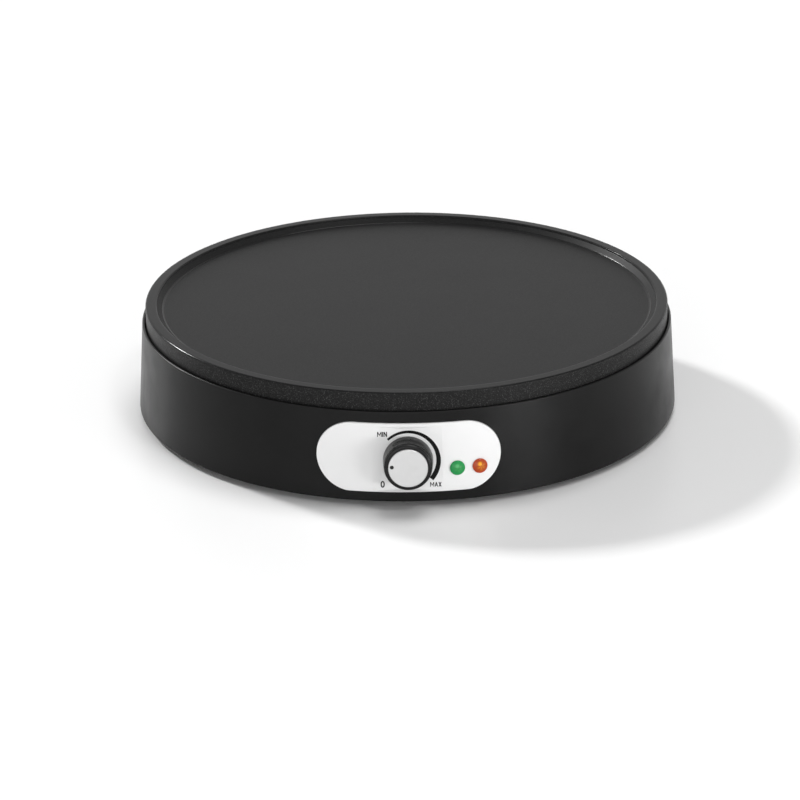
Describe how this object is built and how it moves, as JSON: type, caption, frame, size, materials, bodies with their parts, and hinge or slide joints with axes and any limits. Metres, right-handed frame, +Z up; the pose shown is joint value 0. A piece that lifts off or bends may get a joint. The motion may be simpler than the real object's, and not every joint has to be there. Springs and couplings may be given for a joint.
{
  "type": "electric crepe maker",
  "caption": "Round tabletop electric crepe maker: dark cast cooking plate with a low rim on a tapered black housing, with a front panel, temperature dial and indicator lamps.",
  "frame": {"origin": "on the stand surface, under the middle of the overall box, which includes the dial at the front and the gland at the rear", "axes": "+Z up; the control panel and dial face -Y; +X is to the right of someone who faces the panel"},
  "size_m": [0.3312, 0.3466, 0.0683],
  "materials": {
    "plate_coating": "satin non-stick coating with a fine speckle",
    "element_steel": "matt",
    "ceramic_beads": "matt",
    "tab_metal": "plain",
    "ceramic_bushes": "matt",
    "zinc_screws": "zinc plated",
    "shield_sheet": "aluminised sheet",
    "fuse_sleeve": "matt",
    "copper_parts": "plain copper",
    "brass_parts": "plain",
    "housing_plastic": "satin black moulding",
    "cover_plastic": "matt black moulding",
    "foot_rubber": "matt",
    "panel_plastic": "satin silver-white",
    "green_lens": "clear tinted, domed",
    "orange_lens": "clear tinted, domed",
    "lamp_glass": "clear",
    "pale_sleeve": "woven sleeve",
    "zinc_sheet": "zinc plated sheet",
    "thermostat_case": "brown phenolic",
    "shaft_steel": "turned",
    "knob_plastic": "satin black",
    "cap_metal": "brushed silver",
    "dot_plastic": "matt black",
    "block_plastic": "plain",
    "gland_rubber": "matt",
    "brown_sleeve": "insulated lead",
    "blue_sleeve": "insulated lead",
    "green_yellow_sleeve": "insulated lead"
  },
  "bodies": {
    "cooker": {"hot_plate": "plate_coating", "heating_element": "element_steel", "element_insulators": "ceramic_beads", "element_tabs": "tab_metal", "insulating_bushes": "ceramic_bushes", "plate_screws": "zinc_screws", "heat_shield": "shield_sheet", "shield_screws": "zinc_screws", "thermal_fuse": "fuse_sleeve", "sensor_bulb": "copper_parts", "capillary_tube": "copper_parts", "sensor_clips": "tab_metal", "clip_screws": "zinc_screws", "earth_lug": "brass_parts", "earth_screw": "brass_parts", "housing": "housing_plastic", "bottom_cover": "cover_plastic", "cover_screws": "zinc_screws", "rubber_feet": "foot_rubber", "control_panel": "panel_plastic", "green_lens": "green_lens", "orange_lens": "orange_lens", "lens_retainers": "tab_metal", "glow_lamps": "lamp_glass", "lamp_leads": "pale_sleeve", "thermostat_bracket": "zinc_sheet", "bracket_screws": "zinc_screws", "thermostat_body": "thermostat_case", "thermostat_nut": "zinc_screws", "thermostat_tabs": "tab_metal", "terminal_block": "block_plastic", "terminal_screws": "brass_parts", "cord_gland": "gland_rubber", "live_wire": "brown_sleeve", "switched_wire": "pale_sleeve", "fused_wire": "pale_sleeve", "neutral_wire": "blue_sleeve", "earth_wire": "green_yellow_sleeve"},
    "dial": {"dial_knob": "knob_plastic", "dial_cap": "cap_metal", "dial_dot": "dot_plastic", "thermostat_shaft": "shaft_steel"}
  },
  "joints": [
    {"name": "dial_turn", "type": "hinge", "parent": "cooker", "child": "dial", "pos_m": [0, -0.15822, 0.0285], "axis": [0, 0.9981, -0.0621], "range_deg": [-50, 220]}
  ]
}
